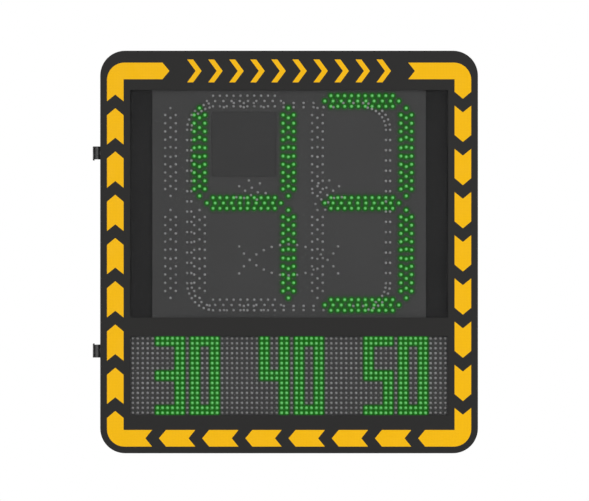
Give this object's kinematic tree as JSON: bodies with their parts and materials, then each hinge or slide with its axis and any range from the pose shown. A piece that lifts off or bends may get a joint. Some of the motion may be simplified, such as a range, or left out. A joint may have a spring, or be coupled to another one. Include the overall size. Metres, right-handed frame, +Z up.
{
  "type": "radar speed sign",
  "caption": "Upright speed display sign: hinged face with a digit window over a message window, dotted lamp boards and an arrow border, on a shallow housing with two mounting rails.",
  "frame": {"origin": "centre of the mounting holes in the rails' back faces, level with the middle of the face", "axes": "+Z up, +X to the viewer's right, front towards -Y, +Y out of the rails' backs"},
  "size_m": [0.776, 0.1694, 0.81],
  "materials": {
    "housing_paint": "dark grey powder coat, fine texture",
    "back_paint": "dark grey powder coat on flat sheet",
    "galvanised_sheet": "galvanised sheet with a dull sheen",
    "zinc_fasteners": "zinc-plated steel",
    "hinge_metal": "cast and tumbled, grey",
    "gasket_rubber": "black foam rubber",
    "spacer_brass": "nickel-tinted brass",
    "supply_case": "pale grey case with vent slots",
    "device_plastic": "light grey moulding",
    "terminal_plastic": "mid grey moulding",
    "black_nylon": "black nylon",
    "lock_metal": "satin chrome",
    "face_paint": "matt black-grey coat",
    "yellow_film": "reflective amber film",
    "clear_pane": "clear sheet",
    "black_clamp": "black moulding",
    "inner_paint": "black coat",
    "board_mask": "dark grey mask",
    "circuit_board": "green lacquered circuit board",
    "lamp_lit": "green lamp, lit",
    "lamp_unlit": "milky lamp, unlit",
    "radar_plastic": "dark grey cover",
    "radar_metal": "grey moulded case with cooling ribs",
    "controller_plastic": "dark grey moulding"
  },
  "bodies": {
    "housing": {"side_band": "housing_paint", "back_plate": "back_paint", "backing_strips": "galvanised_sheet", "upper_rail": "galvanised_sheet", "lower_rail": "galvanised_sheet", "rail_bolts": "zinc_fasteners", "rail_nuts": "zinc_fasteners", "door_gasket": "gasket_rubber", "hinge_leaf_upper": "hinge_metal", "hinge_leaf_lower": "hinge_metal", "hinge_pins": "zinc_fasteners", "hinge_screws": "zinc_fasteners", "hinge_nuts": "zinc_fasteners", "tray_spacers": "spacer_brass", "equipment_tray": "galvanised_sheet", "power_supply": "supply_case", "din_rail": "galvanised_sheet", "breaker": "device_plastic", "surge_protector": "device_plastic", "terminal_blocks": "terminal_plastic", "cable_gland": "black_nylon", "gland_nut": "black_nylon", "breather_vent": "black_nylon", "lock_barrel_upper": "lock_metal", "lock_barrel_lower": "lock_metal", "lock_nuts": "lock_metal"},
    "door": {"door_frame": "housing_paint", "crossbar": "housing_paint", "digit_pane": "clear_pane", "message_pane": "clear_pane", "digit_pane_clamp": "black_clamp", "message_pane_clamp": "black_clamp", "inner_plate": "inner_paint", "board_standoffs": "spacer_brass", "digit_board": "board_mask", "digit_lamps_lit": "lamp_lit", "digit_lamps_unlit": "lamp_unlit", "face_lamps": "lamp_unlit", "radar_cover": "radar_plastic", "radar_case": "radar_metal", "message_modules": "board_mask", "module_boards": "circuit_board", "board_sockets": "black_nylon", "message_lamps_lit": "lamp_lit", "message_lamps_unlit": "lamp_unlit", "message_bars": "galvanised_sheet", "controller_case": "controller_plastic", "controller_lid": "controller_plastic", "keepers": "galvanised_sheet", "door_leaf_upper": "hinge_metal", "door_leaf_lower": "hinge_metal", "door_leaf_screws": "zinc_fasteners", "face_panel": "face_paint", "arrow_film": "yellow_film", "header_film": "yellow_film"},
    "upper_lock": {"lock_plug_upper": "lock_metal", "lock_hook_upper": "lock_metal"},
    "lower_lock": {"lock_plug_lower": "lock_metal", "lock_hook_lower": "lock_metal"}
  },
  "joints": [
    {"name": "door_hinge", "type": "hinge", "parent": "housing", "child": "door", "pos_m": [-0.3873, -0.143, 0], "axis": [0, 0, -1], "range_deg": [0, 110]},
    {"name": "upper_lock_turn", "type": "hinge", "parent": "housing", "child": "upper_lock", "pos_m": [0.3395, -0.118, 0.14], "axis": [1, 0, 0], "range_deg": [0, 90]},
    {"name": "lower_lock_turn", "type": "hinge", "parent": "housing", "child": "lower_lock", "pos_m": [0.3395, -0.118, -0.14], "axis": [1, 0, 0], "range_deg": [0, 90]}
  ]
}
